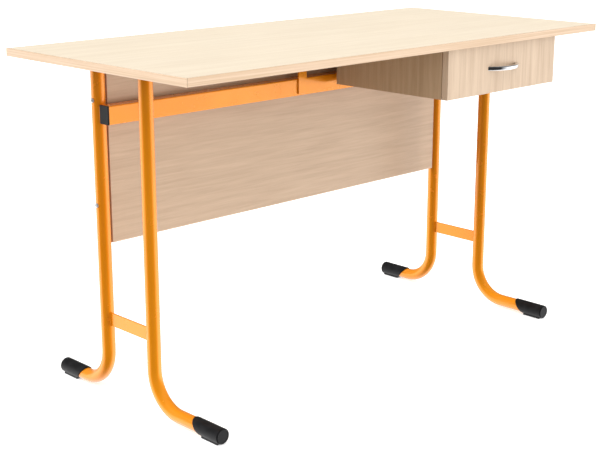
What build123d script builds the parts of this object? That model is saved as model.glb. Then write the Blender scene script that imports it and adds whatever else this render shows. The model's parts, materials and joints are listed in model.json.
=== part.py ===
"""School teacher's desk: laminate top on two bent-tube end frames, with a cross beam,
a modesty panel and one shallow drawer unit on roller runners.

Millimetres, +Z up, +X to the sitter's right, the sitter faces +Y.
The origin is on the floor, in the middle of the desk's footprint, handle included.
"""
from build123d import *
import math
import os

# ---- Driving dimensions -------------------------------------------------------------------

# Whole desk
TOP_LENGTH = 1300
TOP_DEPTH = 600
DESK_HEIGHT = 755
TOP_THICKNESS = 16.8
BAND = 2
BAND_CHAMFER = 0.5

# End frames: round tube legs with a level foot
TUBE_RADIUS = 15
TUBE_WALL = 1.5
BEND_RADIUS = 82
FOOT_Z = 18
LEG_X = 547
FRONT_LEG_OFFSET = -43.5
REAR_LEG_OFFSET = 119.5
FRONT_FOOT_OFFSET = -263
REAR_FOOT_OFFSET = 291.5
SPACER_THICKNESS = 4
SPACER_Z = (160, 190)
RAIL_WIDTH = 30
RAIL_HEIGHT = 20
RAIL_WALL = 1.5
RAIL_CORNER = 2
RAIL_OFFSETS = (-150, 240)
RAIL_PLUG_HEAD = 2.5
PLUG_INSERT = 15
PLUG_CHAMFER = 0.6

# Foot caps
CAP_WALL = 2
CAP_END = 3
CAP_TOP_LENGTH = 87
CAP_BOTTOM_LENGTH = 60
CAP_PAD_SETBACK = 7
CAP_PAD_LENGTH = 50
CAP_PAD_WIDTH = 22
CAP_RIM = 2

# Cross beam with its plugs and the bracket in its middle
BEAM_HALF_LENGTH = 553
BEAM_DEPTH = 30
BEAM_Z = (607, 647)
BEAM_WALL = 1.5
BEAM_CORNER = 2.5
BEAM_PLUG_HEAD = 3
BRACKET_WIDTH = 26
BRACKET_THICKNESS = 4
BRACKET_FOOT_Z = 612
BRACKET_FLANGE = 40
BRACKET_BEND = 3
BRACKET_SCREW_INSETS = (16, 32)

# Modesty panel
PANEL_THICKNESS = 16
PANEL_HALF_LENGTH = 530
PANEL_Z = (343, 737)
PANEL_SCREW_ZS = (430, 655)

# Drawer unit: overlay front, housing, roller runners and drawer box
BOARD = 16
FACIA_SETBACK = 12
FACIA_WIDTH = 400
FACIA_CENTRE_X = 296
FACIA_Z = (626, 736.2)
FACIA_GAP = 2
BUMPER_RADIUS = 4
BUMPER_GAP = 0.3
BUMPER_DROP = 20
CARCASS_DEPTH = 323
CARCASS_BACK_INSET = 8
HARDBOARD = 3.2
GROOVE = 6
SHALLOW_GROOVE = 4
GROOVE_SLACK = 0.1
RUNNER_GAP = 12.5
RUNNER_LENGTH = 300
DRAWER_RUNNER_LENGTH = 290
RUNNER_SHEET = 1.2
RUNNER_LIFT = 3
RUNNER_SETBACK = 2
DRAWER_RUNNER_LIFT = 1
RUNNER_LIP_GAP = 0.6
ROLLER_RADIUS = 8.5
ROLLER_WIDTH = 6
ROLLER_EASE = 0.8
ROLLER_CLEARANCE = 0.3
ROLLER_PIN_RADIUS = 2.5
ROLLER_PIN_HEAD = 4
ROLLER_PIN_GAP = 0.2
ROLLER_BORE_CLEARANCE = 0.05
ROLLER_FROM_END = 12
DRAWER_BOX_LENGTH = 300
DRAWER_BOX_HEIGHT = 65
DRAWER_BOTTOM_LIFT = 10

# Bow handle
HANDLE_REACH = 25
HANDLE_HALF_LENGTH = 57
HANDLE_INNER_HALF = 41
HANDLE_THICKNESS = 4.5
HANDLE_HEIGHT = 10
HANDLE_Z = 683
HANDLE_HOLE_HALF = 48
HANDLE_OUTER_FILLET = 3
HANDLE_INNER_FILLET = 1.2
HANDLE_SCREW_BITE = 6
HANDLE_SCREW_SLACK = 0.5

# Corner angle brackets of the housing
ANGLE_LEG = 25
ANGLE_WIDTH = 20
ANGLE_SHEET = 2
ANGLE_SCREW_INSET = 16
ANGLE_INSETS = (60, 70)

# Screws and dowels: shanks and heads are (radius, length), and drives are radii
RAIL_SCREW = (2.1, 32)
RAIL_SCREW_HEAD = (4, 2.5)
RAIL_DRIVE = 1.5
RAIL_SCREW_OFFSETS = (-130, -5, 80, 215)
SMALL_SCREW = (1.75, 13)
PAN_HEAD = (3.6, 2.2)
SMALL_DRIVE = 1.3
PANEL_SCREW = (3.5, 70)
PANEL_SCREW_HEAD = (5, 3)
PANEL_DRIVE = 2
DOWEL = (4, 30)
DOWEL_IN_SIDE = 12
DOWEL_INSET = 40
RUNNER_SCREW = (1.75, 12)
RUNNER_SCREW_HEAD = (3.2, 1.1)
LEDGE_SCREW_HEAD = (3.2, 1.6)
RUNNER_DRIVE = 1.2
RUNNER_SCREW_LIFT = 5
RUNNER_SCREWS_ALONG = (40, 150, 270)
LEDGE_SCREWS_ALONG = (30, 140, 250)
BOX_SCREW = (2.5, 38)
BOX_SCREW_HEAD = (4.5, 3)
BOX_DRIVE = 2
BOX_SCREW_ZS = (677, 701)
FACIA_SCREW = (1.75, 26)
FACIA_SCREW_BITE = 10
FACIA_SCREW_OFFSETS = (-120, 120)
FACIA_SCREW_ZS = (667, 699)
HANDLE_SCREW_HEAD = (4, 2.4)
HANDLE_DRIVE = 1.5

# A screw head is straight to the first share of its height, then domed with the second share of
# its radius to a flat crown of the third share, and its drive is the last share of its height
HEAD_RIM = 0.45
HEAD_DOME = 0.75
HEAD_CROWN = 0.55
DRIVE_DEPTH = 0.6

# Every hole for a screw, pin or dowel is this much larger in radius than what it holds
FIT = 0.05

# ---- Places worked out from the driving dimensions ------------------------------------------

TOP_Y = (HANDLE_REACH - FACIA_SETBACK) / 2
TOP_FRONT = TOP_Y - TOP_DEPTH / 2
TOP_UNDERSIDE = DESK_HEIGHT - TOP_THICKNESS
FRONT_LEG_Y = TOP_Y + FRONT_LEG_OFFSET
REAR_LEG_Y = TOP_Y + REAR_LEG_OFFSET
RAIL_UNDERSIDE = TOP_UNDERSIDE - RAIL_HEIGHT
BEAM_REAR = REAR_LEG_Y - TUBE_RADIUS
BEAM_FRONT = BEAM_REAR - BEAM_DEPTH

FACIA_FRONT = TOP_FRONT + FACIA_SETBACK
FACIA_REAR = FACIA_FRONT + BOARD
CARCASS_FRONT = FACIA_REAR + FACIA_GAP
CARCASS_REAR = CARCASS_FRONT + CARCASS_DEPTH
CARCASS_FLOOR = FACIA_Z[0] + BOARD
BAY_HALF = FACIA_WIDTH / 2 - BOARD

RUNNER_Z = CARCASS_FLOOR + RUNNER_LIFT
ROLLER_Z = RUNNER_Z + RUNNER_SHEET + ROLLER_CLEARANCE + ROLLER_RADIUS
TRACK_Z = ROLLER_Z + ROLLER_RADIUS + ROLLER_CLEARANCE
DRAWER_RUNNER_Z = RUNNER_Z + DRAWER_RUNNER_LIFT
DRAWER_BASE = DRAWER_RUNNER_Z + RUNNER_SHEET
DRAWER_TOP = DRAWER_BASE + DRAWER_BOX_HEIGHT
DRAWER_HALF = BAY_HALF - RUNNER_GAP
DRAWER_REAR = FACIA_REAR + DRAWER_BOX_LENGTH
INNER_FRONT_REAR = FACIA_REAR + BOARD
DRAWER_FLOOR = DRAWER_BASE + DRAWER_BOTTOM_LIFT
CABINET_ROLLER_Y = CARCASS_FRONT + RUNNER_SETBACK + ROLLER_FROM_END
DRAWER_ROLLER_Y = CARCASS_FRONT + RUNNER_SETBACK + DRAWER_RUNNER_LENGTH - ROLLER_FROM_END

SIDES = {"left": -1, "right": 1}
UP = (0, 0, 1)
DOWN = (0, 0, -1)

os.makedirs("parts", exist_ok=True)


# ---- Helpers ----------------------------------------------------------------------------------


def save(builder, label):
    """Label a finished sub-part and write its STEP file."""
    builder.part.label = label
    export_step(builder.part, f"parts/{label}.step")


def block(x_span, y_span, z_span, mode=Mode.ADD):
    """Add (or cut) a rectangular block between two limits on each axis."""
    spans = (x_span, y_span, z_span)
    centre = tuple((low + high) / 2 for low, high in spans)
    with Locations(centre):
        Box(*(abs(high - low) for low, high in spans), mode=mode)


def rectangle_between(x_span, y_span):
    """Add a rectangle between two limits on each of the sketch's axes."""
    with Locations((sum(x_span) / 2, sum(y_span) / 2)):
        Rectangle(abs(x_span[1] - x_span[0]), abs(y_span[1] - y_span[0]))


def across_y(y):
    """The XZ plane at one Y, seen from the front: its sketch axes are X and Z."""
    return Plane(origin=(0, y, 0), x_dir=(1, 0, 0), z_dir=(0, -1, 0))


def drill(places, direction, radius, depth):
    """Bore a round hole into the part from each place, along a direction."""
    with BuildSketch(*[Plane(origin=place, z_dir=direction) for place in places]) as mouths:
        Circle(radius + FIT)
    extrude(mouths.sketch, amount=depth, mode=Mode.SUBTRACT)


def facing(places, direction):
    """Pair every place with one direction."""
    return [(place, direction) for place in places]


def make_screws(label, seats, shank, head, drive_radius):
    """Equal screws in one node. A seat is the centre of a head's underside and the direction
    from the shank to the head, and shank and head are each (radius, length)."""
    shank_radius, shank_length = shank
    head_radius, head_height = head
    with BuildPart() as screw:
        with BuildSketch(Plane.XZ):
            with BuildLine():
                tip = Line((0, -shank_length), (shank_radius, shank_radius - shank_length))
                side = Line(tip @ 1, (shank_radius, 0))
                seat = Line(side @ 1, (head_radius, 0))
                rim = Line(seat @ 1, (head_radius, head_height * HEAD_RIM))
                crown_edge = (head_radius * HEAD_CROWN, head_height)
                dome = RadiusArc(rim @ 1, crown_edge, -head_radius * HEAD_DOME)
                crown = Line(dome @ 1, (0, head_height))
                Line(crown @ 1, (0, -shank_length))
            make_face()
        revolve(axis=Axis.Z)
        with BuildSketch(Plane.XY.offset(head_height)):
            RegularPolygon(drive_radius, 6)
        extrude(amount=-head_height * DRIVE_DEPTH, mode=Mode.SUBTRACT)
    with BuildPart() as screws:
        with Locations(*[Plane(origin=place, z_dir=out).location for place, out in seats]):
            add(screw.part)
    save(screws, label)


def make_plug(label, places, outer, wall, corner, head):
    """Tube-end plugs in one node: a flat head over the tube's end and an insert in its bore.
    A place is (centre of the tube's end, direction out of the tube, the plane's x direction)."""
    width, height = outer
    with BuildPart() as plug:
        with BuildSketch():
            RectangleRounded(width, height, corner)
        extrude(amount=head)
        chamfer(plug.faces().sort_by(Axis.Z)[-1].edges(), PLUG_CHAMFER)
        with BuildSketch():
            insert_wall = wall + FIT
            RectangleRounded(width - 2 * insert_wall, height - 2 * insert_wall, PLUG_CHAMFER)
        extrude(amount=-PLUG_INSERT)
    with BuildPart() as plugs:
        planes = [Plane(origin=end, x_dir=x_dir, z_dir=out) for end, out, x_dir in places]
        with Locations(*[plane.location for plane in planes]):
            add(plug.part)
    save(plugs, label)


def bay_x(side, depth):
    """X at a depth inwards from the housing side's inner face, on one side of the bay."""
    return FACIA_CENTRE_X + side * (BAY_HALF - depth)


# ---- Desktop ------------------------------------------------------------------------------------

BOARD_HALF = TOP_LENGTH / 2 - BAND
BOARD_FRONT = TOP_FRONT + BAND
BOARD_REAR = TOP_FRONT + TOP_DEPTH - BAND

RAIL_SCREWS = [
    (side * LEG_X, TOP_Y + offset, RAIL_UNDERSIDE)
    for side in SIDES.values()
    for offset in RAIL_SCREW_OFFSETS
]
BRACKET_SCREWS = [
    (0, BEAM_FRONT - inset, TOP_UNDERSIDE - BRACKET_THICKNESS) for inset in BRACKET_SCREW_INSETS
]
ANGLE_YS = (CARCASS_FRONT + ANGLE_INSETS[0], CARCASS_REAR - ANGLE_INSETS[1])
ANGLE_TOP_SCREWS = [
    (bay_x(side, ANGLE_SCREW_INSET), y, TOP_UNDERSIDE - ANGLE_SHEET)
    for side in SIDES.values()
    for y in ANGLE_YS
]

with BuildPart() as desktop_board:
    block((-BOARD_HALF, BOARD_HALF), (BOARD_FRONT, BOARD_REAR), (TOP_UNDERSIDE, DESK_HEIGHT))
    drill(RAIL_SCREWS, UP, *RAIL_SCREW)
    drill(BRACKET_SCREWS, UP, *SMALL_SCREW)
    drill(ANGLE_TOP_SCREWS, UP, *SMALL_SCREW)
save(desktop_board, "desktop_board")


def make_band(label, x_span, y_span, outer_face):
    """One 2 mm edge band of the desktop, its two outer arrises eased."""
    with BuildPart() as band:
        block(x_span, y_span, (TOP_UNDERSIDE, DESK_HEIGHT))
        outer = band.faces().sort_by(outer_face)[-1]
        eased = outer.edges().filter_by(Axis.Z, reverse=True)
        chamfer(eased, BAND_CHAMFER)
    save(band, label)


# The end bands run the whole depth, and the front and rear bands fit between them.
FULL_DEPTH = (TOP_FRONT, TOP_FRONT + TOP_DEPTH)
make_band("edge_band_left", (-TOP_LENGTH / 2, -BOARD_HALF), FULL_DEPTH, -Axis.X)
make_band("edge_band_right", (BOARD_HALF, TOP_LENGTH / 2), FULL_DEPTH, Axis.X)
make_band("edge_band_front", (-BOARD_HALF, BOARD_HALF), (TOP_FRONT, BOARD_FRONT), -Axis.Y)
make_band("edge_band_rear", (-BOARD_HALF, BOARD_HALF), (BOARD_REAR, FULL_DEPTH[1]), Axis.Y)

# ---- End frames -----------------------------------------------------------------------------------


def make_leg(label, x, leg_y, foot_y, screw_seats=(), inward=(1, 0, 0)):
    """A leg: down from the top rail, round one bend, and level along the foot. Where it has
    screw seats, a hole goes right through it from each, inward."""
    reach = math.copysign(1, foot_y - leg_y)
    with BuildPart() as leg:
        with BuildLine():
            upright = Line((x, leg_y, RAIL_UNDERSIDE), (x, leg_y, FOOT_Z + BEND_RADIUS))
            bend = TangentArc(
                upright @ 1, (x, leg_y + reach * BEND_RADIUS, FOOT_Z), tangent=upright % 1
            )
            Line(bend @ 1, (x, foot_y - reach * (CAP_END + FIT), FOOT_Z))
        with BuildSketch(Plane(origin=(x, leg_y, RAIL_UNDERSIDE), z_dir=DOWN)):
            Circle(TUBE_RADIUS)
            Circle(TUBE_RADIUS - TUBE_WALL, mode=Mode.SUBTRACT)
        sweep()
        if screw_seats:
            drill(screw_seats, inward, PANEL_SCREW[0], 2 * TUBE_RADIUS)
    save(leg, label)


def make_foot_cap(label, x, foot_y, reach):
    """A plastic cap on a foot's end: a sleeve with an oblique mouth, and a flat pad below it
    that stops short of its tip."""
    radius = TUBE_RADIUS + CAP_WALL
    tip = Plane(origin=(x, foot_y, FOOT_Z), x_dir=(1, 0, 0), z_dir=(0, -reach, 0))
    with BuildPart() as cap:
        with BuildSketch(tip):
            Circle(radius)
        extrude(amount=CAP_TOP_LENGTH)
        chamfer(cap.faces().sort_by(Axis.Y)[-1 if reach > 0 else 0].edges(), CAP_RIM)
        with BuildSketch(tip.offset(CAP_PAD_SETBACK)):
            with Locations((0, -reach * FOOT_Z / 2)):
                Rectangle(CAP_PAD_WIDTH, FOOT_Z)
        extrude(amount=CAP_PAD_LENGTH)
        mouth_run = CAP_TOP_LENGTH - CAP_BOTTOM_LENGTH
        mouth_top = (x, foot_y - reach * CAP_TOP_LENGTH, FOOT_Z + radius)
        mouth = Plane(origin=mouth_top, x_dir=(1, 0, 0), z_dir=(0, reach * 2 * radius, mouth_run))
        split(bisect_by=mouth, keep=Keep.TOP)
        with BuildSketch(tip.offset(CAP_END)):
            Circle(TUBE_RADIUS + FIT)
        extrude(amount=CAP_TOP_LENGTH, mode=Mode.SUBTRACT)
    save(cap, label)


for side_name, side in SIDES.items():
    x = side * LEG_X
    front_tip = TOP_Y + FRONT_FOOT_OFFSET
    rear_tip = TOP_Y + REAR_FOOT_OFFSET
    panel_seats = [(side * (LEG_X + TUBE_RADIUS), REAR_LEG_Y, z) for z in PANEL_SCREW_ZS]
    make_leg(f"front_leg_{side_name}", x, FRONT_LEG_Y, front_tip)
    make_leg(f"rear_leg_{side_name}", x, REAR_LEG_Y, rear_tip, panel_seats, (-side, 0, 0))
    make_foot_cap(f"foot_cap_front_{side_name}", x, front_tip, -1)
    make_foot_cap(f"foot_cap_rear_{side_name}", x, rear_tip, 1)

    with BuildPart() as spacer_bar:
        block(
            (x - SPACER_THICKNESS / 2, x + SPACER_THICKNESS / 2),
            (FRONT_LEG_Y, REAR_LEG_Y),
            SPACER_Z,
        )
        with Locations((x, FRONT_LEG_Y, SPACER_Z[0]), (x, REAR_LEG_Y, SPACER_Z[0])):
            Cylinder(TUBE_RADIUS, 2 * (SPACER_Z[1] - SPACER_Z[0]), mode=Mode.SUBTRACT)
    save(spacer_bar, f"spacer_bar_{side_name}")

    with BuildPart() as top_rail:
        with BuildSketch(across_y(TOP_Y + RAIL_OFFSETS[0])):
            with Locations((x, TOP_UNDERSIDE - RAIL_HEIGHT / 2)):
                RectangleRounded(RAIL_WIDTH, RAIL_HEIGHT, RAIL_CORNER)
                Rectangle(
                    RAIL_WIDTH - 2 * RAIL_WALL, RAIL_HEIGHT - 2 * RAIL_WALL, mode=Mode.SUBTRACT
                )
        extrude(amount=RAIL_OFFSETS[0] - RAIL_OFFSETS[1])
        drill([place for place in RAIL_SCREWS if place[0] == x], UP, RAIL_SCREW[0], RAIL_HEIGHT)
    save(top_rail, f"top_rail_{side_name}")

    rail_ends = [
        ((x, TOP_Y + offset, TOP_UNDERSIDE - RAIL_HEIGHT / 2), out, (1, 0, 0))
        for offset, out in zip(RAIL_OFFSETS, ((0, -1, 0), (0, 1, 0)))
    ]
    make_plug(
        f"top_rail_plugs_{side_name}",
        rail_ends,
        (RAIL_WIDTH, RAIL_HEIGHT),
        RAIL_WALL,
        RAIL_CORNER,
        RAIL_PLUG_HEAD,
    )

make_screws(
    "desktop_screws", facing(RAIL_SCREWS, DOWN), RAIL_SCREW, RAIL_SCREW_HEAD, RAIL_DRIVE
)

# ---- Cross beam, its plugs and its bracket -------------------------------------------------------

BEAM_MIDDLE_Z = sum(BEAM_Z) / 2
BEAM_MIDDLE_Y = (BEAM_FRONT + BEAM_REAR) / 2
BEAM_HEIGHT = BEAM_Z[1] - BEAM_Z[0]

with BuildPart() as cross_beam:
    with BuildSketch(Plane.YZ.offset(-BEAM_HALF_LENGTH)):
        with Locations((BEAM_MIDDLE_Y, BEAM_MIDDLE_Z)):
            RectangleRounded(BEAM_DEPTH, BEAM_HEIGHT, BEAM_CORNER)
            Rectangle(
                BEAM_DEPTH - 2 * BEAM_WALL, BEAM_HEIGHT - 2 * BEAM_WALL, mode=Mode.SUBTRACT
            )
    extrude(amount=2 * BEAM_HALF_LENGTH)
save(cross_beam, "cross_beam")

for side_name, side in SIDES.items():
    beam_end = ((side * BEAM_HALF_LENGTH, BEAM_MIDDLE_Y, BEAM_MIDDLE_Z), (side, 0, 0), (0, 1, 0))
    beam_section = (BEAM_DEPTH, BEAM_HEIGHT)
    make_plug(
        f"beam_plug_{side_name}", [beam_end], beam_section, BEAM_WALL, BEAM_CORNER, BEAM_PLUG_HEAD
    )

with BuildPart() as centre_bracket:
    face_y = BEAM_FRONT - BRACKET_THICKNESS
    with BuildSketch(Plane.YZ.offset(-BRACKET_WIDTH / 2)):
        rectangle_between((face_y, BEAM_FRONT), (BRACKET_FOOT_Z, TOP_UNDERSIDE))
        rectangle_between(
            (BEAM_FRONT - BRACKET_FLANGE, BEAM_FRONT),
            (TOP_UNDERSIDE - BRACKET_THICKNESS, TOP_UNDERSIDE),
        )
    extrude(amount=BRACKET_WIDTH)
    bend_edges = centre_bracket.edges().filter_by(Axis.X)
    inner_bend = bend_edges.sort_by_distance((0, face_y, TOP_UNDERSIDE - BRACKET_THICKNESS))[0]
    fillet(inner_bend, BRACKET_BEND)
    bend_edges = centre_bracket.edges().filter_by(Axis.X)
    outer_bend = bend_edges.sort_by_distance((0, BEAM_FRONT, TOP_UNDERSIDE))[0]
    fillet(outer_bend, BRACKET_BEND + BRACKET_THICKNESS)
    drill(BRACKET_SCREWS, UP, SMALL_SCREW[0], BRACKET_THICKNESS)
save(centre_bracket, "centre_bracket")
make_screws("bracket_screws", facing(BRACKET_SCREWS, DOWN), SMALL_SCREW, PAN_HEAD, SMALL_DRIVE)

# ---- Modesty panel ----------------------------------------------------------------------------------

PANEL_Y = (REAR_LEG_Y - PANEL_THICKNESS / 2, REAR_LEG_Y + PANEL_THICKNESS / 2)

with BuildPart() as modesty_panel:
    block((-PANEL_HALF_LENGTH, PANEL_HALF_LENGTH), PANEL_Y, (PANEL_Z[0] + BAND, PANEL_Z[1]))
    for side in SIDES.values():
        panel_end = side * PANEL_HALF_LENGTH
        bite = PANEL_SCREW[1] - (LEG_X + TUBE_RADIUS - PANEL_HALF_LENGTH)
        drill(
            [(panel_end, REAR_LEG_Y, z) for z in PANEL_SCREW_ZS], (-side, 0, 0), PANEL_SCREW[0], bite
        )
save(modesty_panel, "modesty_panel")

with BuildPart() as panel_edge_band:
    block((-PANEL_HALF_LENGTH, PANEL_HALF_LENGTH), PANEL_Y, (PANEL_Z[0], PANEL_Z[0] + BAND))
    chamfer(panel_edge_band.faces().sort_by(Axis.Z)[0].edges().filter_by(Axis.X), BAND_CHAMFER)
save(panel_edge_band, "panel_edge_band")

PANEL_SEATS = [
    ((side * (LEG_X + TUBE_RADIUS), REAR_LEG_Y, z), (side, 0, 0))
    for side in SIDES.values()
    for z in PANEL_SCREW_ZS
]
make_screws("panel_screws", PANEL_SEATS, PANEL_SCREW, PANEL_SCREW_HEAD, PANEL_DRIVE)

# ---- Drawer housing ---------------------------------------------------------------------------------

DOWEL_Z = FACIA_Z[0] + BOARD / 2
DOWEL_YS = (
    CARCASS_FRONT + DOWEL_INSET,
    CARCASS_FRONT + CARCASS_DEPTH / 2,
    CARCASS_REAR - DOWEL_INSET,
)
CARCASS_BACK_REAR = CARCASS_REAR - CARCASS_BACK_INSET
BACK_Y = (CARCASS_BACK_REAR - HARDBOARD, CARCASS_BACK_REAR)
BACK_GROOVE = (BACK_Y[0] - GROOVE_SLACK, BACK_Y[1] + GROOVE_SLACK)
RUNNER_SCREW_YS = [CARCASS_FRONT + RUNNER_SETBACK + along for along in RUNNER_SCREWS_ALONG]
RUNNER_SCREW_Z = RUNNER_Z + RUNNER_SCREW_LIFT
ANGLE_SIDE_Z = TOP_UNDERSIDE - ANGLE_SCREW_INSET
BUMPER_Z = TOP_UNDERSIDE - BUMPER_DROP

for side_name, side in SIDES.items():
    with BuildPart() as carcass_side:
        block(
            (bay_x(side, 0), bay_x(side, -BOARD)),
            (CARCASS_FRONT, CARCASS_REAR),
            (FACIA_Z[0], TOP_UNDERSIDE),
        )
        block(
            (bay_x(side, 0), bay_x(side, -SHALLOW_GROOVE)),
            BACK_GROOVE,
            (CARCASS_FLOOR - SHALLOW_GROOVE, TOP_UNDERSIDE),
            Mode.SUBTRACT,
        )
        inner_face = bay_x(side, 0)
        drill([(inner_face, y, DOWEL_Z) for y in DOWEL_YS], (side, 0, 0), DOWEL[0], DOWEL_IN_SIDE)
        drill([(inner_face, y, RUNNER_SCREW_Z) for y in RUNNER_SCREW_YS], (side, 0, 0), *RUNNER_SCREW)
        drill([(inner_face, y, ANGLE_SIDE_Z) for y in ANGLE_YS], (side, 0, 0), *SMALL_SCREW)
    save(carcass_side, f"carcass_side_{side_name}")

with BuildPart() as carcass_bottom:
    block(
        (bay_x(-1, 0), bay_x(1, 0)), (CARCASS_FRONT, CARCASS_REAR), (FACIA_Z[0], CARCASS_FLOOR)
    )
    block(
        (bay_x(-1, 0), bay_x(1, 0)),
        BACK_GROOVE,
        (CARCASS_FLOOR - SHALLOW_GROOVE, CARCASS_FLOOR),
        Mode.SUBTRACT,
    )
    for side in SIDES.values():
        ends = [(bay_x(side, 0), y, DOWEL_Z) for y in DOWEL_YS]
        drill(ends, (-side, 0, 0), DOWEL[0], DOWEL[1] - DOWEL_IN_SIDE)
save(carcass_bottom, "carcass_bottom")

with BuildPart() as carcass_back:
    groove_reach = SHALLOW_GROOVE - GROOVE_SLACK
    block(
        (bay_x(-1, -groove_reach), bay_x(1, -groove_reach)),
        BACK_Y,
        (CARCASS_FLOOR - groove_reach, TOP_UNDERSIDE),
    )
save(carcass_back, "carcass_back")

with BuildPart() as carcass_dowels:
    for side in SIDES.values():
        start = [(bay_x(side, FIT - DOWEL_IN_SIDE), y, DOWEL_Z) for y in DOWEL_YS]
        with BuildSketch(*[Plane(origin=place, z_dir=(-side, 0, 0)) for place in start]):
            Circle(DOWEL[0])
        extrude(amount=DOWEL[1] - 2 * FIT)
save(carcass_dowels, "carcass_dowels")

with BuildPart() as corner_brackets:
    for side in SIDES.values():
        for y in ANGLE_YS:
            width = (y - ANGLE_WIDTH / 2, y + ANGLE_WIDTH / 2)
            block(
                (bay_x(side, 0), bay_x(side, ANGLE_SHEET)),
                width,
                (TOP_UNDERSIDE - ANGLE_LEG, TOP_UNDERSIDE),
            )
            block(
                (bay_x(side, 0), bay_x(side, ANGLE_LEG)),
                width,
                (TOP_UNDERSIDE - ANGLE_SHEET, TOP_UNDERSIDE),
            )
        drill(
            [(bay_x(side, ANGLE_SHEET), y, ANGLE_SIDE_Z) for y in ANGLE_YS],
            (side, 0, 0),
            SMALL_SCREW[0],
            ANGLE_SHEET,
        )
    drill(ANGLE_TOP_SCREWS, UP, SMALL_SCREW[0], ANGLE_SHEET)
save(corner_brackets, "corner_brackets")

ANGLE_SEATS = facing(ANGLE_TOP_SCREWS, DOWN) + [
    ((bay_x(side, ANGLE_SHEET), y, ANGLE_SIDE_Z), (-side, 0, 0))
    for side in SIDES.values()
    for y in ANGLE_YS
]
make_screws("corner_screws", ANGLE_SEATS, SMALL_SCREW, PAN_HEAD, SMALL_DRIVE)

with BuildPart() as bumper_pads:
    pad_places = [(bay_x(side, -BOARD / 2), CARCASS_FRONT, BUMPER_Z) for side in SIDES.values()]
    with BuildSketch(*[Plane(origin=place, z_dir=(0, -1, 0)) for place in pad_places]):
        Circle(BUMPER_RADIUS)
    extrude(amount=FACIA_GAP - BUMPER_GAP)
save(bumper_pads, "bumper_pads")

# ---- Roller runners -----------------------------------------------------------------------------------

CHANNEL_REACH = 10
LIP_REACH = 6
TRACK_GAP = 9.5
DRAWER_LEG_DEPTH = RUNNER_GAP - RUNNER_SHEET
LEDGE = 11.5
CABINET_ROLLER_DEPTH = 2
DRAWER_ROLLER_DEPTH = 4
LIP_Z = TRACK_Z + RUNNER_SHEET + RUNNER_LIP_GAP
PIN_CAP = 0.9
LEDGE_SCREW_DEPTH = 8
LEDGE_SCREW_YS = [CARCASS_FRONT + RUNNER_SETBACK + along for along in LEDGE_SCREWS_ALONG]
LEDGE_SCREWS = {
    side: [
        (bay_x(side, RUNNER_GAP + LEDGE_SCREW_DEPTH), y, DRAWER_RUNNER_Z) for y in LEDGE_SCREW_YS
    ]
    for side in SIDES.values()
}


def make_roller(label, side, near_depth, y):
    """A nylon roller with eased edges, bored to turn on its pin."""
    with BuildPart() as roller:
        with BuildSketch(Plane(origin=(bay_x(side, near_depth), y, ROLLER_Z), z_dir=(-side, 0, 0))):
            Circle(ROLLER_RADIUS)
            Circle(ROLLER_PIN_RADIUS + ROLLER_BORE_CLEARANCE, mode=Mode.SUBTRACT)
        extrude(amount=ROLLER_WIDTH)
        rims = roller.edges().filter_by(GeomType.CIRCLE).group_by(SortBy.RADIUS)[-1]
        fillet(rims, ROLLER_EASE)
    save(roller, label)


def make_roller_pins(label, y, rooted_depth, capped_depth):
    """The two rivets that a pair of rollers turns on, capped on the rollers' free side."""
    inward = math.copysign(1, capped_depth - rooted_depth)
    with BuildPart() as pins:
        for side in SIDES.values():
            axis = (-side * inward, 0, 0)
            with BuildSketch(Plane(origin=(bay_x(side, rooted_depth), y, ROLLER_Z), z_dir=axis)):
                Circle(ROLLER_PIN_RADIUS)
            extrude(amount=abs(capped_depth - rooted_depth))
            with BuildSketch(Plane(origin=(bay_x(side, capped_depth), y, ROLLER_Z), z_dir=axis)):
                Circle(ROLLER_PIN_HEAD)
            extrude(amount=PIN_CAP)
    save(pins, label)


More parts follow.
